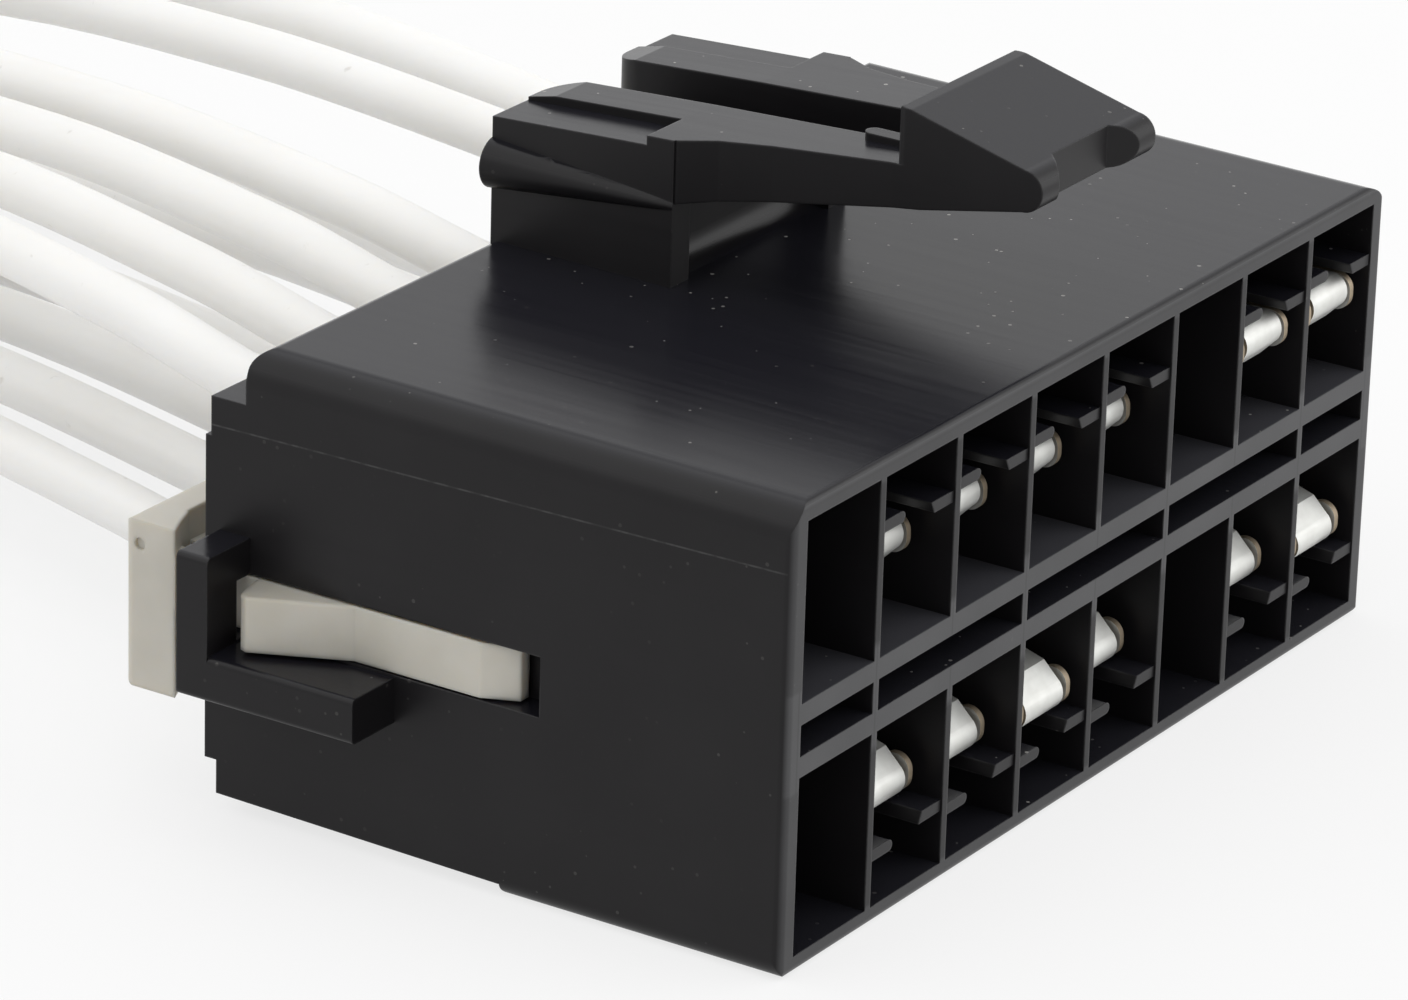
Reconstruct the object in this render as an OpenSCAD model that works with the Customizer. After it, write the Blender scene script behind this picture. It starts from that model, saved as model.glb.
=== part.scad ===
// Two-row switch connector with a rear secondary lock, twelve folded receptacle terminals and their leads.
// Millimetres. The origin is the middle of the mating face: X runs along the rows, Y goes back towards
// the leads, Z is up. The part lies on the underside of its collar.

/* [Cavities] */
// Spacing of the cavity columns
pitch = 6.35; // [6:0.05:7.5]
// Wall between neighbouring cavities
divider = 0.45; // [0.3:0.05:0.7]
// Height of one cavity
cavity_h = 8.55; // [8.2:0.05:9.5]
// Thickness of each of the two bars between the rows
bar_t = 1; // [0.9:0.05:1.4]
// Gap between the two bars
mid_gap = 1.5; // [1.3:0.05:1.9]
// Width of the rear passage that a lead leaves by
passage_w = 5; // [4.2:0.1:5.4]
// Height of that passage
passage_h = 6; // [4.4:0.1:6.4]

/* [Rails] */
// How far each guide rail stands out from its wall
rail_w = 1.85; // [1.2:0.05:2.2]
// Thickness of a rail
rail_t = 0.55; // [0.4:0.05:0.8]
// How far the rails start behind the mating face
rail_setback = 0.1; // [0.05:0.05:1]
// How far the left rails lie further out than the right ones
rail_offset = 0.4; // [0:0.05:0.6]

/* [Housing] */
// Thickness of the side walls
side_wall = 1.1; // [0.9:0.05:1.5]
// Thickness of the top and bottom walls
skin = 0.85; // [0.7:0.05:1.3]
// Depth from the mating face to the rear face
body_d = 31.2; // [30:0.1:35]
// Depth of the upper shell, which stops short of the rear face
shell_d = 29; // [27.5:0.1:29.6]
// Depth of the thicker collar round the mating end
collar_d = 14.9; // [12:0.1:18]
// How far the underside steps up behind the collar
collar_step = 0.65; // [0.3:0.05:1.2]
// Mould draft of the top, which rises towards the rear, in degrees
draft = 0.8; // [0:0.1:1.5]
// Rounding of the two long top edges
top_r = 1.6; // [0.8:0.1:1.9]
// Rounding of the two long bottom edges
low_r = 0.9; // [0.3:0.05:1]
// Rounding of the edges round the mating face
rim_r = 0.4; // [0.2:0.05:0.6]

/* [Latch] */
// Width of the latch over its pedestal
latch_w = 15; // [13:0.1:18]
// Width of the latch head
head_w = 10; // [9:0.1:12]
// Gap between the two latch arms
arm_gap = 4; // [3:0.1:5]
// Height of the latch arms above the housing, at the rear
latch_h = 6.4; // [5.5:0.1:8]
// Step from the outer pads up to the arms
pad_step = 0.48; // [0.3:0.02:0.6]
// How far the locking shoulder stands above the arms
hook_h = 2.33; // [1.5:0.05:3]
// Length of the pedestal
pedestal_l = 10; // [8:0.1:11]

/* [Secondary lock] */
// Thickness of the lock's side arms
arm_t = 1.05; // [0.8:0.05:1.3]
// Height of the side arms
arm_h = 2.65; // [1.8:0.05:2.8]
// Play round the lock in its slots
lock_play = 0.12; // [0.08:0.01:0.2]
// Height of the arms' middle below the middle of the face
lock_drop = 0.43; // [0:0.01:0.6]
// Distance from the mating face to the front end of the side slot
slot_y = 12.9; // [11:0.1:14]
// How far the lock pulls back before its wedges meet the guards
lock_travel = 0.6; // [0.3:0.05:0.6]
// How far the finger wedge on each arm stands out
wedge_out = 2.1; // [1.2:0.1:2.4]
// How far the lock stands out behind the housing
rear_bar_d = 4.4; // [3.6:0.1:5]
// Depth of the bar across the rear of the lock
lock_bar_t = 1.9; // [1.4:0.1:2.4]

/* [Guards] */
// How far the guards stand out from the sides
guard_out = 3.25; // [3:0.05:4]
// Clearance under the strap that bridges the arm
strap_gap = 0.12; // [0.05:0.01:0.4]

/* [Terminals] */
// Width of a terminal over its cheeks
term_w = 4.5; // [4:0.05:4.9]
// Height of a terminal
term_h = 3.7; // [3.3:0.05:3.9]
// Thickness of the folded sheet
sheet = 0.35; // [0.25:0.05:0.45]
// Outer radius of the rolled nose
nose_r = 0.87; // [0.7:0.01:1]
// Gap between a terminal and its rails
term_play = 0.25; // [0.1:0.05:0.4]

/* [Leads] */
// Diameter of a lead over its insulation
lead_d = 2.7; // [2.2:0.05:2.9]

/* [Hidden] */
$fn = 48;
eps = 0.01;
over = 1;
COLS = 8;
FILLED = [2, 3, 4, 5, 7, 8];
// Columns that share one slot between the bars
SLOT_GROUPS = [[1, 1], [2, 3], [4, 5], [6, 7], [8, 8]];

cav_w = pitch - divider;
half_w = COLS / 2 * pitch - divider / 2 + side_wall;
row_in = mid_gap / 2 + bar_t;
row_out = row_in + cavity_h;
half_h = row_out + skin;
// The front chambers stop a wall's thickness before the side slots
chamber_d = min(slot_y, collar_d) - skin;
// Height of the drafted top at a distance behind the mating face
function top_z(y) = half_h + y * tan(draft);
function col_x(c) = (c - (COLS + 1) / 2) * pitch;

// Rails sit this far in from the outer wall of a cavity, and the terminals hang just inside them
rail_drop = 2.55;
rail_z = row_out - rail_drop;
term_z = rail_z - rail_t - term_play - term_h / 2;

// Lock slots: the channel along each side and the tongues between the bars
slot_h = arm_h + 2 * lock_play;
channel_d = arm_t + lock_play;
barb = 0.35;
barb_l = 1.6;
tip_gap = 1.5;
pocket_l = tip_gap + barb_l + lock_travel + 0.3;
front_slot_d = 8;
tongue_y = 12;
tongue_t = mid_gap - 2 * lock_play;
tie_extra = 0.3;
side_web = 0.6;
lock_y = body_d + lock_play;

function group_x0(g) = col_x(SLOT_GROUPS[g][0]) - cav_w / 2;
function group_x1(g) = col_x(SLOT_GROUPS[g][1]) + cav_w / 2;
// The outermost tongues stop clear of the side channels
tongue_limit = half_w - channel_d - barb - lock_play - side_web;
function tongue_x0(g) = max(group_x0(g) + tie_extra, -tongue_limit);
function tongue_x1(g) = min(group_x1(g) - tie_extra, tongue_limit);

// Setback of each terminal's nose behind the mating face, in the order of FILLED
TOP_SETBACK = [1.8, 1.7, 1.6, 1.7, 0.5, 0.45];
LOW_SETBACK = [1.2, 1.3, 0.55, 1.4, 1.2, 0.5];
// How far each terminal hangs below the middle of its cavity's guide
TOP_DROP = [0.45, 0.45, 0.4, 0.4, 0, 0];
LOW_DROP = [0, 0, 0, 0, 0, 0];

// Lengths along a terminal, from its nose
box_l = 9.5;
neck_l = 1.5;
core_crimp_l = 4;
crimp_gap = 1;
seat_l = 3.6;
crimp_y = box_l + neck_l;
seat_y = crimp_y + core_crimp_l + crimp_gap;
term_l = seat_y + seat_l;

// Routes of the leads behind the housing: sideways drift, distance from the face, rise from the exit
TOP_ROUTES = [
    [[0, 33, 0], [4.6, 47, 0.4], [11.4, 66, -0.4], [19.6, 92, -4.2], [21.5, 126, -11], [21.1, 176, -14.4]],
    [[0, 33, 0], [4.2, 47, 0.5], [10.8, 66, -0.3], [19, 92, -4], [21, 126, -11], [20.6, 178, -14.4]],
    [[0, 33, 0], [4.4, 47, 0.4], [10.6, 66, -0.4], [18.5, 92, -4.2], [20.5, 126, -11.1], [20.1, 177, -14.4]],
    [[0, 33, 0], [3.6, 47, 0.6], [9.4, 66, -0.2], [17.7, 92, -4], [20, 126, -11], [19.6, 179, -14.4]],
    [[0, 33, 0], [3, 47, 0.5], [8, 66, -0.3], [16.1, 92, -4.2], [19, 126, -11.5], [18.6, 178, -14.8]],
    [[0, 39.5, 0], [2.4, 49, 0.4], [7.8, 66, -0.4], [15.5, 92, -4], [18.5, 126, -11.5], [18.1, 180, -14.8]]
];
LOW_ROUTES = [
    [[0, 33, 0], [4.2, 47, 0.2], [10.2, 66, -0.4], [17.7, 92, -2.8], [18.6, 126, -4.5], [18.2, 177, -4.6]],
    [[0, 33, 0], [4, 47, 0.2], [10, 66, -0.5], [17.2, 92, -2.9], [18.1, 126, -4.5], [17.7, 179, -4.6]],
    [[0, 33, 0], [3.8, 47, 0.1], [9.6, 66, -0.5], [16.7, 92, -2.8], [17.6, 126, -4.5], [17.2, 178, -4.6]],
    [[0, 33, 0], [3.4, 47, 0.1], [9, 66, -0.5], [16, 92, -2.8], [17.1, 126, -4.5], [16.7, 180, -4.6]],
    [[0, 33, 0], [2.8, 47, 0.1], [7.8, 66, -0.6], [14.7, 92, -2.9], [16.1, 126, -4.5], [15.7, 179, -4.6]],
    [[0, 39.5, 0], [2, 49, 0.1], [7.4, 66, -0.5], [14.1, 92, -2.8], [15.6, 126, -4.5], [15.2, 181, -4.6]]
];
TUBE_SIDES = 8;

// Extrudes a side view, drawn as (distance back, height), across x0 to x1
module across(x0, x1) {
    translate([x0, 0, 0]) rotate([90, 0, 90]) linear_extrude(x1 - x0) children();
}

// Extrudes a front view, drawn as (x, height), from y0 back to y1
module along(y0, y1) {
    translate([0, y1, 0]) rotate([90, 0, 0]) linear_extrude(y1 - y0) children();
}

// Rectangle with its own rounding at the top and at the bottom corners
module rounded_section(x0, x1, z0, z1, r_top, r_low) {
    translate([x0, z0 + r_low]) square([x1 - x0, z1 - z0 - r_top - r_low]);
    translate([x0 + r_top, z0 + r_low]) square([x1 - x0 - 2 * r_top, z1 - z0 - r_low]);
    translate([x0 + r_low, z0]) square([x1 - x0 - 2 * r_low, z1 - z0 - r_top]);
    for (x = [x0 + r_top, x1 - r_top]) translate([x, z1 - r_top]) circle(r_top);
    for (x = [x0 + r_low, x1 - r_low]) translate([x, z0 + r_low]) circle(r_low);
}

// Copies what it holds to the other side of the connector
module both_sides() {
    children();
    mirror([1, 0, 0]) children();
}

// Side view of the housing's shell, with its drafted top, stepped rear end and collar
module shell_side() {
    ledge_z = rail_z - 0.55;
    cap_z = ledge_z + 1.9;
    heel_z = -half_h + 2.55;
    heel_y = body_d - 0.65;
    heel_rise = 0.25;
    rear_r = 0.8;
    difference() {
        polygon([
            [0, -half_h], [collar_d, -half_h], [collar_d, -half_h + collar_step],
            [heel_y, -half_h + collar_step + heel_rise], [heel_y, heel_z], [body_d, heel_z],
            [body_d, ledge_z], [body_d - 0.3, ledge_z], [body_d - 0.3, cap_z],
            [shell_d, cap_z], [shell_d, top_z(shell_d)], [0, half_h]
        ]);
        for (s = [-1, 1]) translate([rim_r, s * (half_h - rim_r)]) corner_cut(rim_r, -1, s);
        translate([shell_d - rear_r, top_z(shell_d) - rear_r]) corner_cut(rear_r, 1, 1);
        translate([collar_d - rim_r, -half_h + rim_r]) corner_cut(rim_r, 1, -1);
    }
}

// What is cut away to round a corner that points towards (sx, sy), from the centre of its rounding
module corner_cut(r, sx, sy) {
    difference() {
        translate([sx > 0 ? 0 : -r - over, sy > 0 ? 0 : -r - over]) square(r + over);
        circle(r);
    }
}

// Plan of the shell, which rounds the upright edges at the mating face
module shell_plan() {
    difference() {
        translate([-half_w, 0]) square([2 * half_w, body_d]);
        for (s = [-1, 1]) translate([s * (half_w - rim_r), rim_r]) corner_cut(rim_r, s, -1);
    }
}

// Closed outer form of the housing: its side view cut to its plan, with the long edges rounded
module shell() {
    difference() {
        intersection() {
            across(-half_w, half_w) shell_side();
            translate([0, 0, -half_h - over]) linear_extrude(2 * half_h + 4 * over) shell_plan();
        }
        both_sides() {
            translate([0, 0, half_h - top_r]) rotate([draft, 0, 0])
                along(-over, body_d + over) translate([-half_w + top_r, 0]) corner_cut(top_r, -1, 1);
            along(-over, collar_d)
                translate([-half_w + low_r, -half_h + low_r]) corner_cut(low_r, -1, -1);
        }
    }
}

// Front view of one cavity, in the upper row (s = 1) or the lower row (s = -1)
module cavity_front(c, s) {
    translate([col_x(c) - cav_w / 2, s > 0 ? row_in : -row_out]) square([cav_w, cavity_h]);
}

// Front view of a cavity's two rails: the left one round-ended, the right one with a cut corner
module rails_front(c, s) {
    r = rail_t / 2;
    translate([col_x(c), s * (rail_z - r)]) {
        translate([-cav_w / 2, s * rail_offset]) {
            translate([-eps, -r]) square([rail_w - r + eps, rail_t]);
            translate([rail_w - r, 0]) circle(r);
        }
        translate([cav_w / 2 - rail_w, 0])
            polygon([[r, -s * r], [rail_w + eps, -s * r], [rail_w + eps, s * r], [0, s * r]]);
    }
}

module cavities() {
    along(-over, rail_setback)
        for (c = [1 : COLS], s = [-1, 1]) cavity_front(c, s);
    along(rail_setback - eps, chamber_d) difference() {
        for (c = [1 : COLS], s = [-1, 1]) cavity_front(c, s);
        for (c = FILLED, s = [-1, 1]) rails_front(c, s);
    }
    along(chamber_d - eps, body_d + over)
        for (c = FILLED, s = [-1, 1])
            translate([col_x(c) - passage_w / 2, s * term_z - passage_h / 2])
                square([passage_w, passage_h]);
}

// Slots between the two bars: open at the face, and narrower behind, where the lock's tongues run
module middle_slots() {
    along(-over, front_slot_d)
        for (g = [0 : len(SLOT_GROUPS) - 1])
            translate([group_x0(g), -mid_gap / 2]) square([group_x1(g) - group_x0(g), mid_gap]);
    along(front_slot_d - eps, body_d + over)
        for (g = [0 : len(SLOT_GROUPS) - 1])
            translate([tongue_x0(g), -mid_gap / 2]) square([tongue_x1(g) - tongue_x0(g), mid_gap]);
}

// Channel along the left side for the lock's arm, with the pocket that its barb moves in
module side_channel() {
    z0 = -lock_drop - slot_h / 2;
    translate([-half_w - over, slot_y, z0]) cube([channel_d + over, body_d + over - slot_y, slot_h]);
    translate([-half_w, slot_y, z0]) cube([channel_d + barb + lock_play, pocket_l, slot_h]);
}

// Guard on the left side: a bar below the arm and a post whose strap bridges it
module guard() {
    bar_top = -lock_drop - slot_h / 2 - 0.1;
    bar_low = bar_top - 2.2;
    post_y0 = shell_d - 0.3;
    post_y1 = body_d - 0.8;
    bar_y0 = post_y0 - 8;
    lug_z = -lock_drop + slot_h / 2 + 0.25;
    post_top = lug_z + 1.5;
    edge = 0.3;
    root = 0.5;
    outer = -half_w - guard_out;
    along(bar_y0, post_y1) rounded_section(outer, -half_w + root, bar_low, bar_top, edge, edge);
    along(post_y0, post_y1) difference() {
        rounded_section(outer, -half_w + root, bar_low, post_top, edge, edge);
        translate([-half_w - strap_gap, bar_top]) square([strap_gap + root + over, lug_z - bar_top]);
    }
}

// Side view of the latch lever: a pad that climbs to the front, the arms, and the hook with its round tip
module lever_side() {
    rear_y = shell_d - 0.2;
    front_y = rear_y - pedestal_l;
    rear_z = half_h + latch_h;
    knee_z = rear_z + 0.92;
    arm_z = rear_z + 1.85;
    shoulder_y = 8.65;
    crest_y = 7.85;
    tip_r = 1;
    tip = [0.87 + tip_r, arm_z - 0.28];
    translate(tip) circle(tip_r);
    polygon([
        [rear_y, half_h - over], [rear_y, rear_z + 0.2], [rear_y - 1.5, rear_z + pad_step + 0.05],
        [front_y + 1.5, knee_z], [shoulder_y, arm_z - 0.4], [shoulder_y - 0.05, arm_z + hook_h - 0.2],
        [shoulder_y - 0.25, arm_z + hook_h], [crest_y, arm_z + hook_h - 0.05],
        tip + tip_r * [-0.28, 0.94], tip, tip + tip_r * [-0.19, -0.96],
        [crest_y - 0.65, arm_z - 2.35], [front_y, arm_z - 3.95],
        [front_y, half_h - over]
    ]);
}

// Plan of the lever: two arms that draw in to the head, and the flared notch in the head's front
module lever_plan() {
    rear_y = shell_d - 0.2;
    front_y = rear_y - pedestal_l;
    head_y = 8.65;
    reach = front_y - head_y;
    draw = (latch_w - head_w) / 2;
    notch_y = 1.95;
    notch_w = 0.49 * head_w;
    flare = notch_w / 2 + notch_y + over;
    difference() {
        union() {
            translate([-latch_w / 2, front_y]) square([latch_w, pedestal_l]);
            for (s = [0, 1]) mirror([s, 0]) polygon([
                [0, front_y + 1], [-latch_w / 2 + 0.1, front_y + 1], [-latch_w / 2 + 0.1, front_y - 0.1],
                [-head_w / 2 - 0.58 * draw, front_y - 0.17 * reach],
                [-head_w / 2 - 0.33 * draw, front_y - 0.415 * reach], [-head_w / 2, head_y], [0, head_y]
            ]);
            translate([-head_w / 2, 0]) square([head_w, head_y + 1]);
        }
        polygon([[-flare, -over], [flare, -over], [notch_w / 2, notch_y], [-notch_w / 2, notch_y]]);
    }
}

module latch() {
    rear_y = shell_d - 0.2;
    front_y = rear_y - pedestal_l;
    rear_z = half_h + latch_h;
    under_z = rear_z - 2.3;
    gap_floor = rear_z - 3.2;
    flare_r = 1.7;
    cheek_t = 1.5;
    foot_r = 1.3;
    pad_w = 2.9;
    bead_z = rear_z - 2.2;
    key_y = 8.65;
    key_l = 2.6;
    key_w = 0.9;
    head_r = 0.6;
    difference() {
        union() {
            difference() {
                intersection() {
                    across(-latch_w / 2, latch_w / 2) lever_side();
                    linear_extrude(half_h + latch_h + 12) lever_plan();
                }
                // Gap between the two arms: a trough over the pedestal that flares at the rear
                translate([0, 0, gap_floor]) linear_extrude(latch_h + 4) difference() {
                    translate([-arm_gap / 2 - flare_r, front_y - eps])
                        square([arm_gap + 2 * flare_r, pedestal_l + over]);
                    for (s = [-1, 1])
                        translate([s * (arm_gap / 2 + flare_r), rear_y - flare_r]) circle(flare_r);
                    for (s = [-1, 1]) {
                        post_x = s * (arm_gap / 2 + flare_r / 2) - flare_r / 2 - (s < 0 ? eps : 0);
                        translate([post_x, front_y - 1]) square([flare_r + eps, pedestal_l + 1 - flare_r]);
                    }
                }
                translate([-arm_gap / 2, key_y + 0.4, half_h]) cube([arm_gap, front_y - key_y - 0.4, 20]);
                // Hollow in the pedestal's front between its two cheeks, with a rounded foot
                across(-latch_w / 2 + cheek_t, latch_w / 2 - cheek_t) {
                    translate([front_y - over, top_z(front_y) + foot_r])
                        square([foot_r + over, under_z - top_z(front_y) - foot_r]);
                    translate([front_y, top_z(front_y) + foot_r - 0.05]) circle(foot_r);
                }
            }
            // Tapered beads along the pedestal's two sides
            for (s = [-1, 1])
                translate([s * (latch_w / 2 - 0.2), rear_y, bead_z]) rotate([90, 0, 0])
                    cylinder(h = pedestal_l, r1 = 1.25, r2 = 0.27);
            // Short rib with a round end on the left arm, along its inner edge
            translate([-arm_gap / 2 - key_w, key_y - eps, rear_z + 1]) {
                cube([key_w, key_l, 0.7]);
                translate([key_w / 2, key_l, 0]) cylinder(h = 0.7, r = key_w / 2);
            }
        }
        // Outer half of each pad, a step lower than the arm
        for (s = [0, 1]) mirror([s, 0, 0]) across(-latch_w / 2 - over, -latch_w / 2 + pad_w) polygon([
            [front_y + 1.5, rear_z + pad_step], [rear_y + over, rear_z],
            [rear_y + over, rear_z + pad_step * 6], [front_y + 1.5, rear_z + pad_step * 6]
        ]);
        // Rounded rear corners of the head
        translate([0, 0, rear_z + 1.45]) linear_extrude(hook_h + 2)
            for (s = [-1, 1])
                translate([s * (head_w / 2 - head_r), key_y - head_r]) corner_cut(head_r, s, 1);
    }
}

// Black housing, moulded in one piece with its latch and its two guards
module housing() {
    color("#2d2a2c") difference() {
        union() {
            shell();
            latch();
            both_sides() guard();
        }
        cavities();
        middle_slots();
        both_sides() side_channel();
    }
}

// Plan of the lock's left arm: barbed tip, straight run in the channel and finger wedge
module arm_plan() {
    x_out = -half_w;
    x_in = x_out + arm_t;
    tip_y = slot_y + tip_gap;
    tip_in = 0.75;
    wedge_y0 = shell_d - 6.1;
    wedge_y1 = shell_d - 1.1;
    corner = 0.35;
    polygon([
        [x_in + barb, tip_y], [x_in + barb, tip_y + barb_l / 2], [x_in, tip_y + barb_l],
        [x_in, lock_y + rear_bar_d - lock_bar_t], [x_out, lock_y + rear_bar_d - lock_bar_t],
        [x_out, wedge_y1 + corner], [x_out - wedge_out + 1.5 * corner, wedge_y1],
        [x_out - wedge_out + 0.4 * corner, wedge_y1 - 0.4 * corner],
        [x_out - wedge_out, wedge_y1 - 1.5 * corner],
        [x_out, wedge_y0], [x_out, tip_y + 1.7], [x_out + tip_in, tip_y]
    ]);
}

// Side view of the lock's end block, rounded at its rear corners
module end_block_side(h, r) {
    low = -term_z - 1;
    difference() {
        polygon([
            [lock_y, low], [lock_y + rear_bar_d, low], [lock_y + rear_bar_d, h / 2], [lock_y, h / 2]
        ]);
        translate([lock_y + rear_bar_d - r, low + r]) corner_cut(r, 1, -1);
        translate([lock_y + rear_bar_d - r, h / 2 - r]) corner_cut(r, 1, 1);
    }
}

// Plan of the left end block, which widens from the bar towards the guard
module end_block_plan(x_out, x_in, r) {
    bar_y = lock_y + rear_bar_d - lock_bar_t;
    difference() {
        polygon([
            [x_out, bar_y - 1], [x_out, lock_y + rear_bar_d], [x_in, lock_y + rear_bar_d],
            [x_in, bar_y - 0.1], [(x_out + x_in) / 2, bar_y - 0.5]
        ]);
        translate([x_out + r, lock_y + rear_bar_d - r]) corner_cut(r, -1, 1);
    }
}

// Pale secondary lock: a bar across the rear, tongues between the rows and an arm along each side
module secondary_lock() {
    bar_h = 0.84 * term_z;
    bar_r = 0.5;
    bar_y = lock_y + rear_bar_d - lock_bar_t;
    block_in = half_w - 2.1;
    block_out = half_w + 0.1;
    arm_z0 = -lock_drop - arm_h / 2;
    dimple_r = 0.3;
    color("#cfccc2") {
        across(-block_in - eps, block_in + eps) translate([bar_y, -bar_h / 2]) rear_bar_side(bar_h, bar_r);
        for (g = [0 : len(SLOT_GROUPS) - 1])
            translate([tongue_x0(g) + lock_play, tongue_y, -tongue_t / 2])
                cube([tongue_x1(g) - tongue_x0(g) - 2 * lock_play, bar_y - tongue_y + eps, tongue_t]);
        both_sides() {
            difference() {
                intersection() {
                    across(-block_out, -block_in) end_block_side(bar_h, bar_r);
                    translate([0, 0, -half_h]) linear_extrude(2 * half_h)
                        end_block_plan(-block_out, -block_in, bar_r);
                }
                // Small round gate mark in the outer face
                translate([-block_out, lock_y + rear_bar_d - 0.9, bar_h / 2 - 1.15])
                    rotate([0, 90, 0]) cylinder(h = 0.4, r = dimple_r, center = true);
            }
            translate([0, 0, arm_z0]) linear_extrude(arm_h) arm_plan();
        }
    }
}

// Side view of the lock's rear bar, rounded at the back
module rear_bar_side(h, r) {
    difference() {
        square([lock_bar_t, h]);
        translate([lock_bar_t - r, r]) corner_cut(r, 1, -1);
        translate([lock_bar_t - r, h - r]) corner_cut(r, 1, 1);
    }
}

// Corner points of a folded strip on one side of its centre line, square to it at the ends
function strip_edge(line, half) =
    let (last = len(line) - 1)
    [for (k = [0 : last])
        let (
            before = unit(line[max(k, 1)] - line[max(k, 1) - 1]),
            after = unit(line[min(k + 1, last)] - line[min(k + 1, last) - 1]),
            mitre = unit(before + after)
        )
        line[k] + [-mitre[1], mitre[0]] * half / (mitre * before)];

// Folded strip of an even thickness along a centre line, in a side view
module strip(line, thick) {
    far_side = strip_edge(line, -thick / 2);
    polygon(concat(strip_edge(line, thick / 2), [for (k = [len(line) - 1 : -1 : 0]) far_side[k]]));
}

// Side view of the spring: top plate, rolled nose and the leaf that runs back to press on the blade
module spring_side() {
    mid_r = nose_r - sheet / 2;
    top = term_h / 2;
    centre = [nose_r, top - nose_r];
    leaf_start = centre + mid_r * [-sin(45), -cos(45)];
    contact_z = -top + 2 * sheet + 0.15;
    fall = leaf_start[1] - contact_z;
    bend = 0.54 * fall;
    difference() {
        translate(centre) circle(nose_r);
        translate(centre) circle(nose_r - sheet);
        translate([centre[0], -term_h]) square([term_h, 2 * term_h]);
        translate(centre) polygon([[0, 0], [-2, -2], [2, -2]]);
    }
    translate([centre[0], top - sheet]) square([box_l - centre[0] - eps, sheet]);
    strip([
        leaf_start + [-0.05, 0.05], leaf_start + [bend, -bend],
        [leaf_start[0] + bend + 1.5 * fall, contact_z], [box_l - 2, contact_z + 0.75]
    ], sheet - 0.02);
}

// Side view of a cheek: a round ear beside the rolled nose, and the full height behind it
module cheek_side() {
    ear_r = nose_r - 0.1;
    wall_y = 3 * nose_r;
    r = 0.92 * nose_r;
    ear_h = 0.34 * nose_r;
    translate([ear_r, term_h / 2 - nose_r]) circle(ear_r);
    translate([ear_r, term_h / 2 - nose_r - ear_h]) circle(ear_r);
    translate([0, term_h / 2 - nose_r - ear_h]) square([ear_r, ear_h]);
    translate([ear_r, term_h / 2 - nose_r - ear_r]) square([box_l - ear_r, 2 * ear_r]);
    translate([wall_y + r, -term_h / 2]) square([box_l - wall_y - r, term_h]);
    translate([wall_y, -term_h / 2 + r]) square([box_l - wall_y, term_h - r - 0.1]);
    translate([wall_y + r, -term_h / 2 + r]) circle(r);
}

// One receptacle, folded from tinned sheet, with its nose at the origin and its spring on top
module receptacle() {
    gap = 0.25;
    spring_w = term_w - 2 * sheet - 2 * gap;
    floor_y = box_l / 3;
    roof_y = 3 * nose_r;
    core_w = 0.555 * term_w;
    core_h = 0.54 * term_h;
    seat_r = lead_d / 2 + 0.06;
    across(-spring_w / 2, spring_w / 2) spring_side();
    for (s = [0, 1]) mirror([s, 0, 0]) across(-term_w / 2, -term_w / 2 + sheet) cheek_side();
    translate([-term_w / 2, floor_y, -term_h / 2]) cube([term_w, box_l - floor_y, sheet]);
    translate([-term_w / 2, roof_y, term_h / 2 - sheet]) cube([term_w, box_l - roof_y, sheet]);
    // Neck that carries the two crimps
    across(-core_w / 2, core_w / 2) polygon([
        [box_l - 1, -term_h / 2], [crimp_y + 0.1, -core_h / 2], [seat_y + 0.1, -seat_r - 0.8 * sheet],
        [seat_y + 0.1, -seat_r - 0.15 * sheet], [crimp_y + 0.1, -core_h / 2 + sheet],
        [box_l - 1, -term_h / 2 + sheet]
    ]);
    // Closed crimp on the bare core: two rolled wings side by side
    along(crimp_y, crimp_y + core_crimp_l) {
        translate([-core_w / 2, -core_h / 2]) square([core_w, core_h / 2]);
        for (s = [-1, 1]) translate([s * core_w / 4, 0]) circle(core_w / 4 + 0.1);
        for (s = [-1, 1]) translate([s * core_w / 4, 0.25]) circle(core_w / 4);
    }
    // Open crimp that holds the insulation
    along(seat_y, term_l) difference() {
        circle(seat_r + sheet);
        circle(seat_r);
    }
}

function setback(i, s) = s > 0 ? TOP_SETBACK[i] : LOW_SETBACK[i];
function hang_z(i, s) = s * term_z - (s > 0 ? TOP_DROP[i] : LOW_DROP[i]);

// Terminal of the i-th filled column, in the upper row (s = 1) or turned over in the lower row (s = -1)
module terminal(i, s) {
    color("#c9c6bd") translate([col_x(FILLED[i]), setback(i, s), hang_z(i, s)])
        rotate([0, s > 0 ? 0 : 180, 0]) receptacle();
}

// Points along the lead of the i-th filled column, from its seat in the crimp to its cut end
function lead_points(i, s) =
    let (x = col_x(FILLED[i]), z = hang_z(i, s), route = s > 0 ? TOP_ROUTES[i] : LOW_ROUTES[i])
    concat([[x, setback(i, s) + seat_y, z]], [for (p = route) [x + p[0], p[1], z + p[2]]]);

function unit(v) = v / norm(v);
// Direction of a line of points at its k-th point
function heading(points, k) =
    let (last = len(points) - 1)
    k == 0 ? [0, 1, 0] : k == last ? unit(points[last] - points[last - 1])
    : unit(unit(points[k] - points[k - 1]) + unit(points[k + 1] - points[k]));
// One ring of the tube round a point, square to the heading there
function ring(p, dir) =
    let (side = unit(cross(dir, [0, 0, 1])), up = cross(side, dir))
    [for (j = [0 : TUBE_SIDES - 1])
        let (a = 360 * (j + 0.5) / TUBE_SIDES) p + lead_d / 2 * (cos(a) * side + sin(a) * up)];

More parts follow.
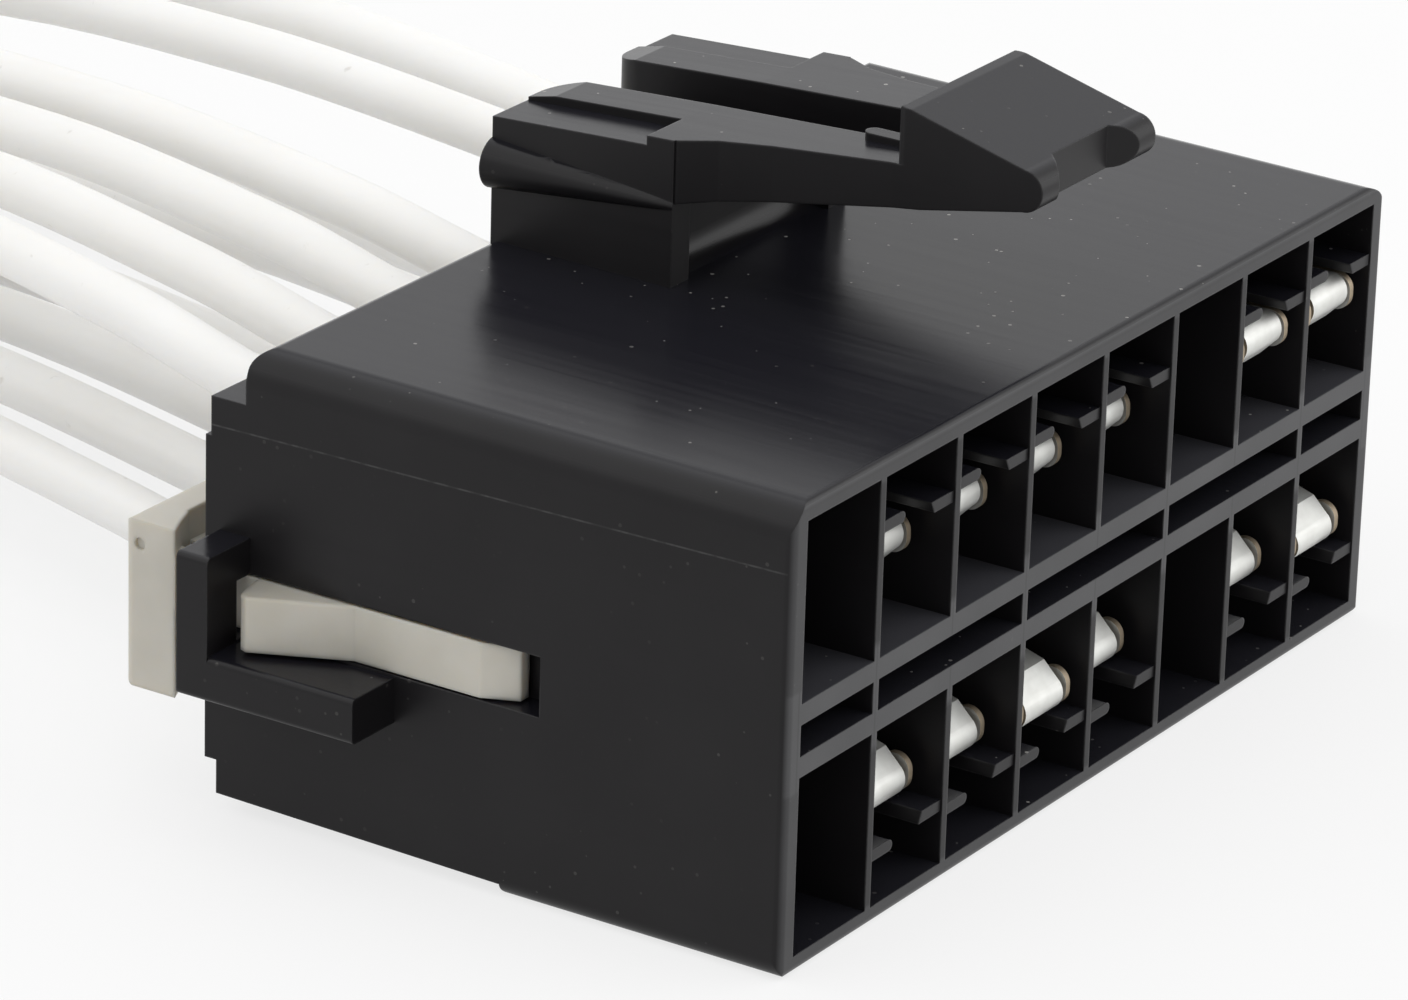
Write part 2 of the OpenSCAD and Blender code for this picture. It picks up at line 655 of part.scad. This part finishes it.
// One lead, swept along its route
module lead(i, s) {
    points = lead_points(i, s);
    n = TUBE_SIDES;
    last = len(points) - 1;
    verts = [for (k = [0 : last]) each ring(points[k], heading(points, k))];
    sides = [for (k = [0 : last - 1], j = [0 : n - 1])
        [k * n + j, (k + 1) * n + j, (k + 1) * n + (j + 1) % n, k * n + (j + 1) % n]];
    start_cap = [for (j = [0 : n - 1]) j];
    end_cap = [for (j = [n - 1 : -1 : 0]) last * n + j];
    color("#f1efea") polyhedron(verts, concat(sides, [start_cap, end_cap]));
}

housing();
secondary_lock();
for (i = [0 : len(FILLED) - 1]) {
    terminal(i, 1);
    terminal(i, -1);
    lead(i, 1);
    lead(i, -1);
}
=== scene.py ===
import bpy
from mathutils import Matrix, Vector
from mathutils.geometry import interpolate_bezier


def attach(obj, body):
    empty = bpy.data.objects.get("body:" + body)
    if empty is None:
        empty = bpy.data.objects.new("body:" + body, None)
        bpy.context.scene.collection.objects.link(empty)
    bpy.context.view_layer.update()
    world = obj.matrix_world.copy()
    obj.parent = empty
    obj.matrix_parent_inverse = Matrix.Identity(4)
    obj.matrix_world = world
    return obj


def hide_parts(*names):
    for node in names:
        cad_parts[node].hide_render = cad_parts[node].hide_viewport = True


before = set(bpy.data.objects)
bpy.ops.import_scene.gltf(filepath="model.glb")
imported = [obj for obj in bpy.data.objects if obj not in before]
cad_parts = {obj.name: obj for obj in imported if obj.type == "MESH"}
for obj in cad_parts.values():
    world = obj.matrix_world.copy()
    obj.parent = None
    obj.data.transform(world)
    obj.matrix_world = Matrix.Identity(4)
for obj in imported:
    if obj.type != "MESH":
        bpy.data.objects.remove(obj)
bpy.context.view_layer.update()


# Housing: one black nylon moulding with two rows of eight cavities, a collar round its front half,
# a sprung latch on top and an L-shaped guard on each side. It is drawn from the mould along its depth,
# which leaves fine streaks front to back, and its edges have the small radius of a worn tool.

PITCH = 0.00635
HOUSING_EDGE_R = 0.00013
MATING_LIP = (0.0004, 0.0007)
BAR_REACH = (0.0023, 0.0027)
SIDE_WALL = (0.0248, 0.0251)
ROW_WALL = (0.0100, 0.0102)
UPPER_FLOOR = (0.0010, 0.0018)
UPPER_RAILS = (0.0030, 0.0040)
BODY_SIDE = 0.0258
LATCH_FOOT = (0.008, 0.010, 0.0113)
PARTING_Z = 0.0081
PARTING_FALL = -0.012

NYLON_DARK = (0.0072, 0.0065, 0.0074, 1)
NYLON_LIGHT = (0.0096, 0.0089, 0.0098, 1)
TOP_SHEEN_TONE = (0.0115, 0.0115, 0.0160, 1)
RIM_SHEEN_GREY = (0.078, 0.078, 0.081, 1)
RUBBED_GREY = (0.060, 0.060, 0.060, 1)
FLOOR_LIGHT_GREY = (0.056, 0.056, 0.064, 1)
DUST_GREY = (0.36, 0.35, 0.33, 1)

# Textures, in cells for each metre
STREAKS = (2400, 60, 2400)
NYLON_CLOUD = 160.0
NYLON_GRAIN = 5200.0
DUST_GRAINS = 1900.0
DUST_DRIFTS = 90.0
FLASH_BREAKS = 1800.0


def new_finish(name, specular=None):
    made = bpy.data.materials.new(name)
    made.use_nodes = True
    shader = made.node_tree.nodes["Principled BSDF"]
    if specular is not None:
        shader.inputs["Specular IOR Level"].default_value = specular
    return made, made.node_tree, shader


def dress(node, finish):
    """Gives a CAD node this finish and no other."""
    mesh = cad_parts[node].data
    mesh.materials.clear()
    mesh.materials.append(finish)


def step(tree, kind, feeds=None, **settings):
    """Adds one node, sets its properties, and joins or sets each of its inputs."""
    made = tree.nodes.new(kind)
    for name, value in settings.items():
        setattr(made, name, value)
    for socket, value in (feeds or {}).items():
        if isinstance(value, bpy.types.NodeSocket):
            tree.links.new(value, made.inputs[socket])
        else:
            made.inputs[socket].default_value = value
    return made


def sums(tree, operation, *values):
    return step(tree, "ShaderNodeMath", dict(enumerate(values)), operation=operation).outputs[0]


def times(tree, first, *others):
    for other in others:
        first = sums(tree, "MULTIPLY", first, other)
    return first


def size_of(tree, value):
    return sums(tree, "ABSOLUTE", value)


def parts_of(tree, vector):
    return step(tree, "ShaderNodeSeparateXYZ", {0: vector}).outputs[:3]


def apart(tree, first, second):
    feeds = {0: first, 1: second}
    return step(tree, "ShaderNodeVectorMath", feeds, operation="DISTANCE").outputs["Value"]


def band(tree, value, low, high, out_low=0.0, out_high=1.0):
    """Runs from out_low to out_high while value runs from low to high, and is held at both ends."""
    feeds = {0: value, 1: low, 2: high, 3: out_low, 4: out_high}
    return step(tree, "ShaderNodeMapRange", feeds).outputs[0]


def blended(tree, share, first, second):
    feeds = {0: share, 6: first, 7: second}
    return step(tree, "ShaderNodeMix", feeds, data_type="RGBA").outputs[2]


def speckle(tree, place, scale, detail=2.0):
    feeds = {"Vector": place, "Scale": scale, "Detail": detail}
    return step(tree, "ShaderNodeTexNoise", feeds).outputs[0]


def stretched(tree, place, scale):
    return step(tree, "ShaderNodeMapping", {"Vector": place, "Scale": scale}).outputs[0]


def off_column(tree, x):
    """How far a place lies from the middle of its column, from 0 there to 0.5 between two columns."""
    along = sums(tree, "FRACT", sums(tree, "DIVIDE", x, PITCH))
    return size_of(tree, sums(tree, "SUBTRACT", along, 0.5))


def softened(tree, radius):
    """The surface normal with every outer edge rounded to a tool radius, and a mask of those edges."""
    soft = step(tree, "ShaderNodeBevel", {"Radius": radius}, samples=6).outputs[0]
    flat = step(tree, "ShaderNodeNewGeometry").outputs["True Normal"]
    feeds = {0: soft, 1: flat}
    same = step(tree, "ShaderNodeVectorMath", feeds, operation="DOT_PRODUCT").outputs["Value"]
    feeds = {"Distance": 4 * radius}
    sky = step(tree, "ShaderNodeAmbientOcclusion", feeds, samples=6, only_local=True).outputs["AO"]
    outer = band(tree, sky, 0.80, 0.95)
    feeds = {0: outer, 4: flat, 5: soft}
    rounded = step(tree, "ShaderNodeMix", feeds, data_type="VECTOR").outputs[1]
    return rounded, times(tree, band(tree, same, 0.98, 0.80), outer)


def raise_relief(tree, shader, height, strength, depth, normal=None):
    feeds = {"Height": height, "Strength": strength, "Distance": depth}
    if normal is not None:
        feeds["Normal"] = normal
    tree.links.new(step(tree, "ShaderNodeBump", feeds).outputs[0], shader.inputs["Normal"])


housing_black, tree, shader = new_finish("housing_black", specular=0.22)
where = step(tree, "ShaderNodeTexCoord").outputs["Object"]
facing = step(tree, "ShaderNodeTexCoord").outputs["Normal"]
soft, edge = softened(tree, HOUSING_EDGE_R)
x, y, z = parts_of(tree, where)
to_right, to_rear, up = parts_of(tree, facing)
flat_side = sums(tree, "MAXIMUM", size_of(tree, up), size_of(tree, to_right))
streaks = speckle(tree, stretched(tree, where, STREAKS), 1.0, 3.0)
streaks = times(tree, streaks, band(tree, flat_side, 0.95, 0.99))
cloud = speckle(tree, where, NYLON_CLOUD, 3.0)
grain = speckle(tree, where, NYLON_GRAIN)

# Dust: bright grains a tenth of a millimetre across, most of them on top round the foot of the latch
spots = step(tree, "ShaderNodeTexVoronoi", {"Vector": where, "Scale": DUST_GRAINS})
pick = step(tree, "ShaderNodeSeparateColor", {0: spots.outputs["Color"]}).outputs[0]
dust = sums(tree, "LESS_THAN", spots.outputs["Distance"], sums(tree, "SUBTRACT", pick, 0.80))
near_foot = band(tree, apart(tree, where, LATCH_FOOT), 0.005, 0.015, 0.24, 0.0)
settled = sums(tree, "ADD", speckle(tree, where, DUST_DRIFTS), near_foot)
on_ledges = band(tree, up, 0.3, 0.9, 0.10, 0.8)
dust = times(tree, dust, on_ledges, band(tree, settled, 0.46, 0.66, 0.08, 1.0))

# Parting line of the mould: a hair of flash along both sides, which falls a little to the rear
line_z = sums(tree, "MULTIPLY_ADD", y, PARTING_FALL, PARTING_Z)
from_line = size_of(tree, sums(tree, "SUBTRACT", z, line_z))
sides = sums(tree, "GREATER_THAN", size_of(tree, to_right), 0.9)
outside = sums(tree, "GREATER_THAN", size_of(tree, x), BODY_SIDE)
broken = band(tree, speckle(tree, where, FLASH_BREAKS), 0.4, 0.6, 0.3, 1.0)
flash = times(tree, band(tree, from_line, 0.00002, 0.00006, 1.0, 0.0), sides, outside, broken)

# Rims of the mating face: painted sheen, a lighter grey standing in for the light they reflect, strongest on
# the bars between the rows, which a faint seam crosses at each divider, weaker on the outer walls, weakest on
# the dividers
bars = band(tree, size_of(tree, z), *BAR_REACH, 1.0, 0.20)
bars = times(tree, bars, band(tree, off_column(tree, x), 0.488, 0.496, 1.0, 0.70))
side_wall = band(tree, size_of(tree, x), *SIDE_WALL, 0.0, 0.65)
row_wall = band(tree, size_of(tree, z), *ROW_WALL, 0.0, 0.65)
sheen_by_place = sums(tree, "MAXIMUM", bars, sums(tree, "MAXIMUM", side_wall, row_wall))
front = times(tree, band(tree, to_rear, -0.5, -0.9), band(tree, y, *MATING_LIP, 1.0, 0.0))
rim_sheen = times(tree, front, sheen_by_place, band(tree, cloud, 0.3, 0.7, 0.75, 1.0))

# Painted light on the cavity floors near the mouth: a paler grey standing in for the light that falls in,
# strong in the upper row and faint below it
floor_light = times(tree, band(tree, up, 0.9, 0.98), band(tree, z, *UPPER_RAILS, 1.0, 0.0))
floor_light = times(tree, floor_light, band(tree, y, 0.0010, 0.0090, 0.9, 0.0), band(tree, z, *UPPER_FLOOR, 0.12, 1.0))

colour = blended(tree, band(tree, cloud, 0.35, 0.7), NYLON_DARK, NYLON_LIGHT)
# Faces that look up are painted a lighter, bluer tone: painted sheen standing in for the surround's
# reflection on the top
colour = blended(tree, band(tree, up, 0.8, 0.98, 0.0, 0.75), colour, TOP_SHEEN_TONE)
# Painted sheen on the rims of the mating face
colour = blended(tree, rim_sheen, colour, RIM_SHEEN_GREY)
# Painted light on the cavity floors
colour = blended(tree, floor_light, colour, FLOOR_LIGHT_GREY)
rubbed = times(tree, edge, band(tree, grain, 0.3, 0.6, 0.25, 0.6))
rubbed = sums(tree, "MAXIMUM", rubbed, times(tree, flash, 0.7))
colour = blended(tree, rubbed, colour, RUBBED_GREY)
tree.links.new(blended(tree, dust, colour, DUST_GREY), shader.inputs["Base Color"])
dull = sums(tree, "ADD", band(tree, streaks, 0.3, 0.7, 0.0, 0.07), band(tree, up, 0.2, 0.9, 0.36, 0.19))
tree.links.new(dull, shader.inputs["Roughness"])
relief = sums(tree, "ADD", times(tree, streaks, 0.6), times(tree, grain, 0.4))
raise_relief(tree, shader, sums(tree, "ADD", relief, flash), 0.15, 0.00003, soft)
dress("housing", housing_black)


# Leads: twelve white insulated leads, one crimped into each terminal. Each leaves the rear of its cavity
# straight, swings to the right with the bundle, sinks to the table and is cut off square at the pigtail's
# end, where the copper strands of its core show.

LEAD_D = 0.0027
CORE_D = 0.0017
SEAT_Y = 0.016
ROW_Z = 0.0051
MIDDLE_COLUMN = 4.5
COLUMNS = (2, 3, 4, 5, 7, 8)
SIDE_OF_ROW = {"top": 1, "low": -1}
SPAN_STEPS = 6

# Setback of each lead's seat behind the usual one, and how far it hangs below the middle of its row
SETBACK = {"top": (0.0018, 0.0017, 0.0016, 0.0017, 0.0005, 0.00045),
           "low": (0.0012, 0.0013, 0.00055, 0.0014, 0.0012, 0.0005)}
DROP = {"top": (0.00045, 0.00045, 0.0004, 0.0004, 0, 0), "low": (0, 0, 0, 0, 0, 0)}

# Route of each lead from the middle of its cavity at the mating face
ROUTES = {
    "top": (
        ((0, .033, 0), (.0046, .047, .0004), (.0114, .066, -.0004),
         (.0196, .092, -.0042), (.0215, .126, -.011), (.0211, .176, -.0144)),
        ((0, .033, 0), (.0042, .047, .0005), (.0108, .066, -.0003),
         (.019, .092, -.004), (.021, .126, -.011), (.0206, .178, -.0144)),
        ((0, .033, 0), (.0044, .047, .0004), (.0106, .066, -.0004),
         (.0185, .092, -.0042), (.0205, .126, -.0111), (.0201, .177, -.0144)),
        ((0, .033, 0), (.0036, .047, .0006), (.0094, .066, -.0002),
         (.0177, .092, -.004), (.02, .126, -.011), (.0196, .179, -.0144)),
        ((0, .033, 0), (.003, .047, .0005), (.008, .066, -.0003),
         (.0161, .092, -.0042), (.019, .126, -.0115), (.0186, .178, -.0148)),
        ((0, .0395, 0), (.0024, .049, .0004), (.0078, .066, -.0004),
         (.0155, .092, -.004), (.0185, .126, -.0115), (.0181, .18, -.0148)),
    ),
    "low": (
        ((0, .033, 0), (.0042, .047, .0002), (.0102, .066, -.0004),
         (.0177, .092, -.0028), (.0186, .126, -.0045), (.0182, .177, -.0046)),
        ((0, .033, 0), (.004, .047, .0002), (.01, .066, -.0005),
         (.0172, .092, -.0029), (.0181, .126, -.0045), (.0177, .179, -.0046)),
        ((0, .033, 0), (.0038, .047, .0001), (.0096, .066, -.0005),
         (.0167, .092, -.0028), (.0176, .126, -.0045), (.0172, .178, -.0046)),
        ((0, .033, 0), (.0034, .047, .0001), (.009, .066, -.0005),
         (.016, .092, -.0028), (.0171, .126, -.0045), (.0167, .18, -.0046)),
        ((0, .033, 0), (.0028, .047, .0001), (.0078, .066, -.0006),
         (.0147, .092, -.0029), (.0161, .126, -.0045), (.0157, .179, -.0046)),
        ((0, .0395, 0), (.002, .049, .0001), (.0074, .066, -.0005),
         (.0141, .092, -.0028), (.0156, .126, -.0045), (.0152, .181, -.0046)),
    ),
}

COVER_DULL = (0.88, 0.87, 0.845, 1)
COVER_WHITE = (0.92, 0.915, 0.90, 1)
SMUDGE_BROWN = (0.45, 0.42, 0.37, 1)
COPPER = (0.72, 0.36, 0.20, 1)
COPPER_SHADE = (0.10, 0.045, 0.025, 1)
COVER_CLOUD = 55.0
COVER_SMUDGES = 900.0
COVER_GRAIN = 1400.0
CORE_STRANDS = 3000.0


def let_light_in(shader, weight, radius, scale):
    shader.inputs["Subsurface Weight"].default_value = weight
    shader.inputs["Subsurface Radius"].default_value = radius
    shader.inputs["Subsurface Scale"].default_value = scale


def lead_middle(row, k):
    """Middle of the cavity of a row's k-th lead, in the plane of the mating face."""
    return Vector(((COLUMNS[k] - MIDDLE_COLUMN) * PITCH, 0, SIDE_OF_ROW[row] * ROW_Z - DROP[row][k]))


def smooth_route(points, per_span):
    """Points along one smooth curve through the route, which leaves the first of them straight back."""
    line = []
    last = len(points) - 1
    reach = 1 / 3
    slopes = [Vector((0, 1, 0)) * (points[1] - points[0]).length]
    for k in range(1, last):
        way = points[k + 1] - points[k - 1]
        span = min((points[k + 1] - points[k]).length, (points[k] - points[k - 1]).length)
        slopes.append(way.normalized() * span)
    slopes.append(points[last] - points[last - 1])
    for k in range(last):
        leaving = points[k] + slopes[k] * reach
        coming = points[k + 1] - slopes[k + 1] * reach
        line += interpolate_bezier(points[k], leaving, coming, points[k + 1], per_span + 1)[:-1]
    return line + [points[last]]


lead_white, tree, shader = new_finish("lead_white", specular=0.4)
shader.inputs["Roughness"].default_value = 0.36
let_light_in(shader, 0.5, (1.0, 0.95, 0.85), 0.0012)
where = step(tree, "ShaderNodeTexCoord").outputs["Object"]
tint = speckle(tree, where, COVER_CLOUD, 3.0)
smudge = band(tree, speckle(tree, where, COVER_SMUDGES, 3.0), 0.72, 0.80, 0.0, 0.35)
cover = blended(tree, band(tree, tint, 0.35, 0.65), COVER_DULL, COVER_WHITE)
cover = blended(tree, smudge, cover, SMUDGE_BROWN)
from_end = 1.0
for row in SIDE_OF_ROW:
    for k in range(len(COLUMNS)):
        end = lead_middle(row, k) + Vector(ROUTES[row][k][-1])
        from_end = sums(tree, "MINIMUM", apart(tree, where, end), from_end)
core = sums(tree, "LESS_THAN", from_end, CORE_D / 2)
# Cut end of the core: copper, with painted shade in the gaps between the strands
strands = step(tree, "ShaderNodeTexVoronoi", {"Vector": where, "Scale": CORE_STRANDS}).outputs["Distance"]
copper = blended(tree, band(tree, strands, 0.35, 0.6), COPPER, COPPER_SHADE)
tree.links.new(blended(tree, core, cover, copper), shader.inputs["Base Color"])
tree.links.new(core, shader.inputs["Metallic"])
raise_relief(tree, shader, speckle(tree, where, COVER_GRAIN), 0.12, 0.00004)

for row in SIDE_OF_ROW:
    for k, column in enumerate(COLUMNS):
        start = lead_middle(row, k)
        knots = [start + Vector((0, SETBACK[row][k] + SEAT_Y, 0))]
        knots += [start + Vector(knot) for knot in ROUTES[row][k]]
        line = smooth_route(knots, SPAN_STEPS)
        shape = bpy.data.curves.new(f"lead_{row}_{column}", "CURVE")
        shape.dimensions = "3D"
        shape.bevel_depth = LEAD_D / 2
        shape.bevel_resolution = 6
        shape.use_fill_caps = True
        spline = shape.splines.new("POLY")
        spline.points.add(len(line) - 1)
        for point, knot in zip(spline.points, line):
            point.co = (*knot, 1)
        spline.use_smooth = True
        lead = bpy.data.objects.new(f"lead_{row}_{column}", shape)
        bpy.context.scene.collection.objects.link(lead)
        shape.materials.append(lead_white)
        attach(lead, "connector")
        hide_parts(f"wire_{row}_{column}")


# Terminals: twelve receptacles folded from tinned brass strip, crimped on the leads and pushed in from the
# rear until they latch. The tin is satin with fine rolling marks, and the sheared edges show bare brass.

CHEEK_X = 0.00185
ROLLING_MARKS = (500, 5000, 5000)
TIN_PATCHES = 900.0
TIN_DARK = (0.68, 0.68, 0.655, 1)
TIN_LIGHT = (0.76, 0.765, 0.74, 1)
BARE_BRASS = (0.42, 0.35, 0.26, 1)

terminal_tin, tree, shader = new_finish("terminal_tin")
shader.inputs["Metallic"].default_value = 1.0
where = step(tree, "ShaderNodeTexCoord").outputs["Object"]
facing = step(tree, "ShaderNodeTexCoord").outputs["Normal"]

# Sheared edges: the faces of a cheek that look any way but sideways, and those between the cheeks that do
cheek = sums(tree, "GREATER_THAN", off_column(tree, parts_of(tree, where)[0]), CHEEK_X / PITCH)
end_on = sums(tree, "LESS_THAN", size_of(tree, parts_of(tree, facing)[0]), 0.5)
cut = sums(tree, "LESS_THAN", size_of(tree, sums(tree, "SUBTRACT", end_on, cheek)), 0.5)
marks = speckle(tree, stretched(tree, where, ROLLING_MARKS), 1.0, 3.0)
tin = blended(tree, band(tree, speckle(tree, where, TIN_PATCHES, 3.0), 0.35, 0.7), TIN_DARK, TIN_LIGHT)
tree.links.new(blended(tree, cut, tin, BARE_BRASS), shader.inputs["Base Color"])
tree.links.new(band(tree, marks, 0.3, 0.7, 0.54, 0.64), shader.inputs["Roughness"])
raise_relief(tree, shader, marks, 0.06, 0.00002)
for row in SIDE_OF_ROW:
    for column in COLUMNS:
        dress(f"terminal_{row}_{column}", terminal_tin)


# Secondary lock: a pale beige moulding pushed in from the rear after the terminals. Its bar closes the back,
# its tongues pass between the rows, and an arm with a finger wedge snaps into the slot in each side.

LOCK_EDGE_R = 0.0003
LOCK_CLOUD = 260.0
LOCK_GRAIN = 4200.0
BEIGE_DARK = (0.54, 0.515, 0.45, 1)
BEIGE_LIGHT = (0.60, 0.575, 0.515, 1)

lock_beige, tree, shader = new_finish("lock_beige", specular=0.45)
let_light_in(shader, 0.4, (1.0, 0.75, 0.45), 0.0010)
where = step(tree, "ShaderNodeTexCoord").outputs["Object"]
cloud = speckle(tree, where, LOCK_CLOUD, 3.0)
beige = blended(tree, band(tree, cloud, 0.35, 0.7), BEIGE_DARK, BEIGE_LIGHT)
tree.links.new(beige, shader.inputs["Base Color"])
tree.links.new(band(tree, cloud, 0.3, 0.7, 0.36, 0.46), shader.inputs["Roughness"])
soft = softened(tree, LOCK_EDGE_R)[0]
raise_relief(tree, shader, speckle(tree, where, LOCK_GRAIN), 0.12, 0.00003, soft)
dress("secondary_lock", lock_beige)


# Studio: a white table that runs out of sight and takes a soft shadow, and a white surround. Two broad soft
# lamps stand above, and the camera looks along the object with the long lens of a catalogue picture.

TABLE_SIZE = 6
TABLE_Z = -0.01116
TABLE_WHITE = (0.86, 0.86, 0.86, 1)
TABLE_GLOW = 0.75
SURROUND_LIGHT = 0.6
WHITE = (1, 1, 1, 1)

# Name, place, width and power of each lamp
LAMPS = (("key", (-0.2, 0.3, 0.75), 1.5, 5.0), ("fill", (0.4, -0.6, 0.4), 0.9, 3.0))

CAMERA_PLACE = (-0.284, -0.160191, 0.133917)
CAMERA_RIGHT = Vector((0.548, -0.83601, 0.02796))
CAMERA_UP = Vector((0.29882, 0.22688, 0.92695))
CAMERA_LENS = 196.576


def seen_directly(tree):
    """1 where the background is looked at, straight or in gloss or glass, and 0 where it only gives light."""
    ray = step(tree, "ShaderNodeLightPath").outputs
    bent = sums(tree, "MAXIMUM", ray["Is Glossy Ray"], ray["Is Transmission Ray"])
    return sums(tree, "MAXIMUM", ray["Is Camera Ray"], bent)


bpy.ops.object.select_all(action="DESELECT")
bpy.ops.mesh.primitive_plane_add(size=TABLE_SIZE, location=(0, 0, TABLE_Z))
table = bpy.context.object
table.name = "table"
bpy.ops.object.transform_apply(location=True)
table_white, tree, shader = new_finish("table_white", specular=0.1)
shader.inputs["Base Color"].default_value = TABLE_WHITE
shader.inputs["Roughness"].default_value = 0.8
glow = step(tree, "ShaderNodeEmission", {"Color": WHITE, "Strength": 1.0})
share = times(tree, seen_directly(tree), TABLE_GLOW)
mixed = step(tree, "ShaderNodeMixShader", {0: share, 1: shader.outputs[0], 2: glow.outputs[0]})
tree.links.new(mixed.outputs[0], tree.nodes["Material Output"].inputs["Surface"])
table.data.materials.append(table_white)

world = bpy.data.worlds.new("surround")
bpy.context.scene.world = world
world.use_nodes = True
tree = world.node_tree
surround = tree.nodes["Background"]
surround.inputs["Color"].default_value = WHITE
tree.links.new(band(tree, seen_directly(tree), 0, 1, SURROUND_LIGHT, 1.0), surround.inputs["Strength"])

for name, place, size, power in LAMPS:
    bpy.ops.object.light_add(type="AREA", location=place)
    lamp = bpy.context.object
    lamp.name = name
    lamp.data.size = size
    lamp.data.energy = power
    lamp.rotation_euler = (-Vector(place)).to_track_quat("-Z", "Y").to_euler()

bpy.ops.object.camera_add()
camera = bpy.context.object
camera.name = "camera"
turn = Matrix((CAMERA_RIGHT, CAMERA_UP, CAMERA_RIGHT.cross(CAMERA_UP))).transposed().to_4x4()
camera.matrix_world = Matrix.Translation(CAMERA_PLACE) @ turn
camera.data.sensor_fit = "HORIZONTAL"
camera.data.sensor_width = 36
camera.data.lens = CAMERA_LENS
camera.data.clip_start = 0.01
camera.data.clip_end = 20
bpy.context.scene.camera = camera
bpy.context.scene.view_settings.view_transform = "Standard"
